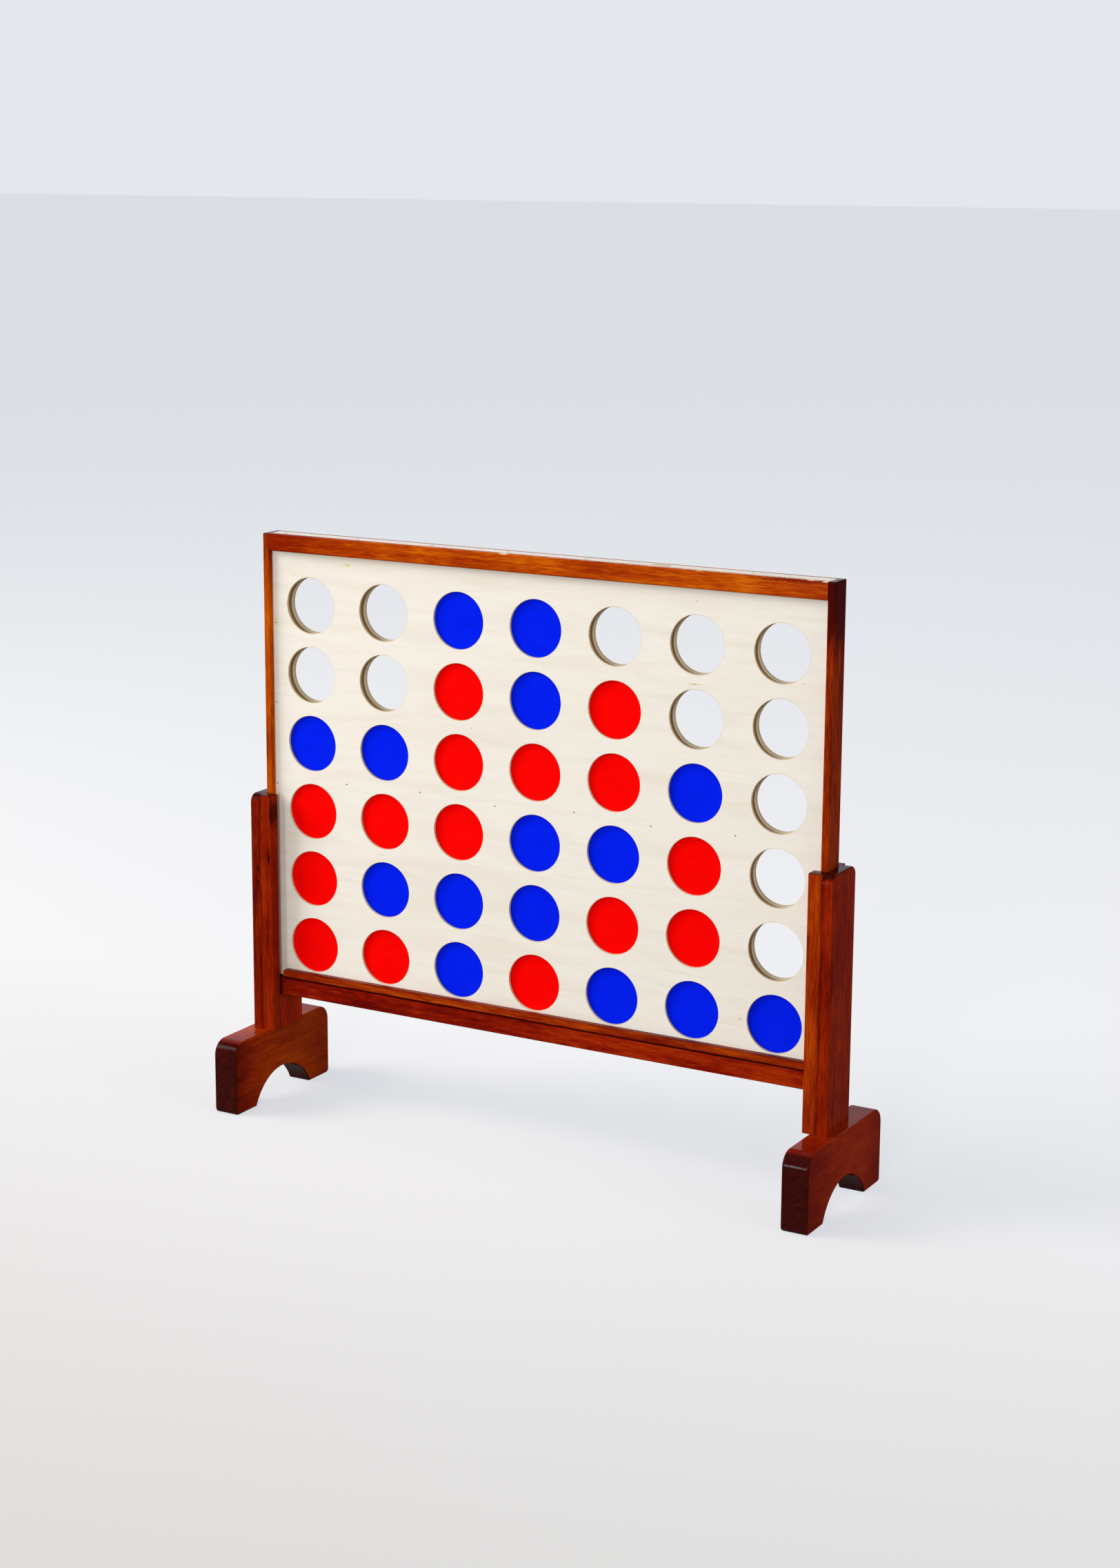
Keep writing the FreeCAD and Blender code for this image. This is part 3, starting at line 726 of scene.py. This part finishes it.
# height of the painted shade at the top of the right stile
stile_top_painted_shade = 0.085
stile_dark_from = 0.74
# where knocks darkened the arris or chipped it to the pale wood
rail_knocks_and_sheen = ((0.395, 0.8390, 0.080, 0.0042, "#7E1D03"),
               # a long pale band along the top arris: worn wood with a painted sheen
               (0.30, 0.8415, 0.40, 0.0009, "#D0BDA9"),
               (-0.0466, 0.8409, 0.0090, 0.0016, "#E6CBA2"),
               (0.4320, 0.8405, 0.0060, 0.0018, "#EBD3B0"),
               (0.410, 0.8408, 0.0070, 0.0012, "#DDB98C"),
               (0.250, 0.8408, 0.0060, 0.0010, "#D2A570"))

for trim, place, tint in (
    ("top_rail", "front", ("#881E02", "#AD3E03", "#D16508")),
    ("top_rail", "back", ("#7A1A02", "#A03A03", "#BC5405")),
    ("bottom_strip", "front", ("#721302", "#962D03", "#B64A05")),
    ("bottom_strip", "back", ("#7A1A02", "#A03A03", "#BC5405")),
):
    low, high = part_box(f"{place}_{trim}")
    show = low[1] if place == "front" else high[1]
    rail = start_board(f"{place}_{trim}_trim", low, high)
    if trim == "bottom_strip":
        round_off(rail, strip_end, 4, lambda edge:
                  runs(edge, 1) and at(middle_of(edge).z, high[2]))
    for radius, arris in ((gap_ease, low[2]), (rail_ease, high[2])):
        round_off(rail, radius, 3, lambda edge: runs(edge, 0)
                  and at(middle_of(edge).y, show) and at(middle_of(edge).z, arris))
    sand_smooth(rail)
    if trim == "top_rail":
        figure, seam_height = 0.85, low[2]
        leans = (("X", -0.30, -0.43, -0.45), ("X", -0.05, 0.20, 0.15),
                 ("X", 0.30, 0.44, -0.25))
    else:
        figure, seam_height = 1.1, high[2]
        leans = (("X", 0.0, 0.40, -0.15),)
    pine = stained_pine(
        f"stained_pine_{place}_{trim}", "X", (low[1] * 60, 2.7, 0.5), *tint, figure=figure,
        leans=leans, dark_band=("Z", seam_height, seam_width),
        marks_and_sheen=rail_knocks_and_sheen if (trim, place) == ("top_rail", "front") else ())
    dress(rail, pine, "stained_wood", "board", f"{place}_{trim}")

# both stiles darken toward the top; on the right stile, much darker and darker still in its
# top 85 mm, this is painted shade
for side, tint, top_tone in (("left", ("#852303", "#B14503", "#CD6204"), -0.5),
                             ("right", ("#520901", "#882403", "#AD3D04"), -1.1)):
    low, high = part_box(f"{side}_stile")
    stile = start_board(f"{side}_stile_strip", low, high)
    round_off(stile, stile_ease, 3, lambda edge:
              runs(edge, 2) or at(middle_of(edge).z, high[2]))
    sand_smooth(stile)
    pine = stained_pine(f"stained_pine_{side}_stile", "Z", (low[0] * 11, 1.9, 0.3), *tint,
                        figure=0.9, leans=(("Z", stile_dark_from, high[2], top_tone),),
                        dark_band=("Z", high[2], stile_top_painted_shade) if side == "right" else None)
    dress(stile, pine, "stained_wood", "board", f"{side}_stile")

# ---------------------------------------------------------------------------
# Panel pins
# Small steel pins with domed heads hold the panels to the strips behind them, one
# in each divider at mid height and, on the front, three along the left spacer.
# ---------------------------------------------------------------------------
pin_radius = 0.0011
pin_dome = 0.0005
head_length = 0.001
head_sunk = 0.0003
rust_patch = 0.0012

# Oxidised steel: drawn wire, blackened by handling, with a dull brown-grey sheen.
steel, tree = new_material("oxidised_steel_pins")
where = add(tree, "ShaderNodeTexCoord")
rust = add(tree, "ShaderNodeTexNoise", {
    "Vector": where.outputs["Object"], "Scale": 1 / rust_patch, "Detail": 2.0})
tone = add(tree, "ShaderNodeValToRGB", {"Fac": rust.outputs["Fac"]},
           stops=((0.35, "#6E6256"), (0.65, "#94826C")))
shader = add(tree, "ShaderNodeBsdfPrincipled", {
    "Base Color": tone.outputs["Color"], "Metallic": 0.5, "Roughness": 0.6})
add(tree, "ShaderNodeOutputMaterial", {"Surface": shader.outputs["BSDF"]})

divider_pins = ((-0.311, 0.488), (-0.187, 0.491), (-0.064, 0.486),
                (0.062, 0.493), (0.181, 0.488), (0.307, 0.491))
spacer_pins = ((-0.430, 0.712), (-0.431, 0.596), (-0.431, 0.476))
for face_name, places in (("front", divider_pins + spacer_pins), ("back", divider_pins)):
    low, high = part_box(f"{face_name}_panel")
    surface, out = (low[1], -1) if face_name == "front" else (high[1], 1)
    heads = []
    for x, z in places:
        head = turned(pin_radius, head_length, 16, (x, surface - out * head_sunk, z))
        choose(head, "FACE", lambda face: face.normal.y * out > squarely)
        bpy.ops.mesh.inset(thickness=pin_radius * 0.35, depth=pin_dome * 0.6)
        bpy.ops.mesh.inset(thickness=pin_radius * 0.3, depth=pin_dome * 0.3)
        bpy.ops.object.mode_set(mode="OBJECT")
        heads.append(head)
    for head in heads:
        head.select_set(True)
    bpy.context.view_layer.objects.active = heads[0]
    bpy.ops.object.join()
    pins = bpy.context.object
    pins.name = f"{face_name}_panel_pins"
    sand_smooth(pins)
    pins.data.materials.append(steel)
    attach(pins, "board")

# ---------------------------------------------------------------------------
# Discs
# Round playing pieces sawn from 9.5 mm plywood, their rims sanded round, sprayed
# matt red or matt blue on all sides. They stand on edge in the slot, one on
# another, and lift out at the top.
# ---------------------------------------------------------------------------
disc_radius = 0.0498
disc_thickness = 0.0095
disc_rim = 0.0012


# Matt spray paint on sanded ply: a dense even colour with no mirror in it. The
# wood's grain telegraphs through as the faintest ripple, and the coat thins and
# darkens by a shade here and there.
def matt_paint(name, thin, even, thick):
    spray_cloud = 0.025
    grain_height = 0.0018
    speckle = 0.0008
    material, tree = new_material(name)
    where = add(tree, "ShaderNodeTexCoord")
    clouds = add(tree, "ShaderNodeTexNoise", {
        "Vector": where.outputs["Object"], "Scale": 1 / spray_cloud, "Detail": 3.0})
    tone = add(tree, "ShaderNodeValToRGB", {"Fac": clouds.outputs["Fac"]},
               stops=((0.3, thin), (0.5, even), (0.72, thick)))
    grain_place = add(tree, "ShaderNodeMapping", {
        "Vector": where.outputs["Object"], "Scale": (0.08, 1.0, 1.0)})
    grain = add(tree, "ShaderNodeTexNoise", {
        "Vector": grain_place.outputs["Vector"], "Scale": 1 / grain_height,
        "Detail": 2.0})
    grain_tone = add(tree, "ShaderNodeMapRange", {
        "Value": grain.outputs["Fac"], "From Min": 0.3, "From Max": 0.7,
        "To Min": 0.95, "To Max": 1.03})
    face = add(tree, "ShaderNodeVectorMath", {
        0: tone.outputs["Color"], "Scale": grain_tone.outputs[0]}, operation="SCALE")
    dry_spray = add(tree, "ShaderNodeTexNoise", {
        "Vector": where.outputs["Object"], "Scale": 1 / speckle, "Detail": 0.0})
    relief = add(tree, "ShaderNodeMath", {
        0: grain.outputs["Fac"], 1: 0.8, 2: dry_spray.outputs["Fac"]},
        operation="MULTIPLY_ADD")
    bump = add(tree, "ShaderNodeBump", {
        "Strength": 0.25, "Distance": 0.0002, "Height": relief.outputs[0]})
    shader = add(tree, "ShaderNodeBsdfPrincipled", {
        "Base Color": face.outputs[0], "Roughness": 0.82, "IOR": 1.5,
        "Specular IOR Level": 0.02, "Normal": bump.outputs["Normal"]})
    add(tree, "ShaderNodeOutputMaterial", {"Surface": shader.outputs["BSDF"]})
    return material


paints = {
    "red": matt_paint("matt_red_paint", "#F80200", "#FD0200", "#FE0301"),
    "blue": matt_paint("matt_blue_paint", "#011DEC", "#011FF1", "#0221F3"),
}
pattern = turned(disc_radius, disc_thickness, 96)
round_off(pattern, disc_rim, 3, sharp)
sand_smooth(pattern)
for node in [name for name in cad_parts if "_disc_" in name]:
    low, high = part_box(node)
    colour, place = node.split("_disc_")
    disc = pattern.copy()
    disc.data = pattern.data.copy()
    disc.name = f"{colour}_piece_{place}"
    bpy.context.scene.collection.objects.link(disc)
    disc.data.transform(Matrix.Translation([(a + b) / 2 for a, b in zip(low, high)]))
    dress(disc, paints[colour], f"{colour}_paint", f"disc_{place}", node)
bpy.data.objects.remove(pattern, do_unlink=True)

# ---------------------------------------------------------------------------
# Floor, room, lamps and camera
# A wide pale floor in a pale room. Most light comes from a broad softbox at the
# left and a small one at the front right, with a narrow window between them and
# faint fills at the right and above. The floor's glow lifts what they leave grey.
# ---------------------------------------------------------------------------
floor_size = 160
glow_near_object = 0.26
glow_far_off = 0.72

bpy.ops.object.select_all(action="DESELECT")
bpy.ops.mesh.primitive_plane_add(size=floor_size)
floor = bpy.context.object
floor.name = "pale_floor"


def seen_directly(tree):
    """1 for what the eye, a gloss or a glass looks at, 0 for light on its way."""
    path = add(tree, "ShaderNodeLightPath")
    either = add(tree, "ShaderNodeMath", {
        0: path.outputs["Is Camera Ray"], 1: path.outputs["Is Glossy Ray"]},
        operation="MAXIMUM")
    return add(tree, "ShaderNodeMath", {
        0: either.outputs[0], 1: path.outputs["Is Transmission Ray"]},
        operation="MAXIMUM").outputs[0]


card, tree = new_material("pale_card")
where = add(tree, "ShaderNodeTexCoord")
apart = add(tree, "ShaderNodeSeparateXYZ", {0: where.outputs["Object"]})
behind = add(tree, "ShaderNodeMapRange", {
    "Value": apart.outputs["Y"], "From Min": -2.6, "From Max": 0.4,
    "To Min": glow_near_object, "To Max": glow_far_off})
in_front = add(tree, "ShaderNodeMapRange", {
    "Value": apart.outputs["Y"], "From Min": -6.0, "From Max": -16.0,
    "To Min": glow_near_object, "To Max": glow_far_off})
glow = add(tree, "ShaderNodeMath", {0: behind.outputs[0], 1: in_front.outputs[0]},
           operation="MAXIMUM")
shown = add(tree, "ShaderNodeMath", {0: glow.outputs[0], 1: seen_directly(tree)},
            operation="MULTIPLY")
shader = add(tree, "ShaderNodeBsdfPrincipled", {
    "Base Color": linear("#9F9789"), "Roughness": 0.9, "Specular IOR Level": 0.0,
    "Emission Color": linear("#ECF2FC"), "Emission Strength": shown.outputs[0]})
add(tree, "ShaderNodeOutputMaterial", {"Surface": shader.outputs["BSDF"]})
floor.data.materials.append(card)


def lamp(name, place, target, size, power):
    light = bpy.data.lights.new(name, "AREA")
    light.shape = "RECTANGLE"
    light.size, light.size_y = size
    light.energy = power
    item = bpy.data.objects.new(name, light)
    bpy.context.scene.collection.objects.link(item)
    item.location = place
    item.rotation_euler = (Vector(target) - Vector(place)).to_track_quat("-Z", "Y").to_euler()


lamp("front_right_softbox", (1.70, -6.53, 2.29), (0, 0, 0.42), (1.1, 0.9), 118)
lamp("front_left_window", (-1.90, -5.60, 0.70), (0, 0, 0.42), (0.3, 1.1), 44)
lamp("ceiling_panel", (0.0, -0.8, 3.4), (0, 0, 0.4), (3.0, 3.0), 14)
lamp("left_softbox", (-4.6, -2.4, 3.4), (0, 0, 0.42), (3.0, 3.0), 272)
lamp("right_softbox", (9.0, -1.0, 3.4), (0, 0, 0.42), (4.0, 4.0), 180)
world = bpy.data.worlds.new("soft_room")
bpy.context.scene.world = world
world.use_nodes = True
room = world.node_tree
room.nodes.clear()
level = add(room, "ShaderNodeMapRange", {
    "Value": seen_directly(room), "To Min": 0.355, "To Max": 0.95})
air = add(room, "ShaderNodeBackground", {
    "Color": linear("#E9ECF4"), "Strength": level.outputs[0]})
add(room, "ShaderNodeOutputWorld", {"Surface": air.outputs[0]})

camera_data = bpy.data.cameras.new("camera")
camera = bpy.data.objects.new("camera", camera_data)
bpy.context.scene.collection.objects.link(camera)
bpy.context.scene.camera = camera
camera_data.sensor_fit = "HORIZONTAL"
camera_data.sensor_width = 36.0
camera_data.lens = 89.14
camera_data.shift_y = -0.0419
camera.location = (1.8672, -3.2196, 1.3628)
forward = Vector((-0.4844, 0.8508, -0.2035)).normalized()
tilt = math.radians(0.357)
level = forward.cross(Vector((0, 0, 1))).normalized()
rise = level.cross(forward)
across = level * math.cos(tilt) + rise * math.sin(tilt)
above = rise * math.cos(tilt) - level * math.sin(tilt)
camera.rotation_euler = Matrix((across, above, -forward)).transposed().to_euler()
bpy.context.scene.view_settings.view_transform = "Standard"
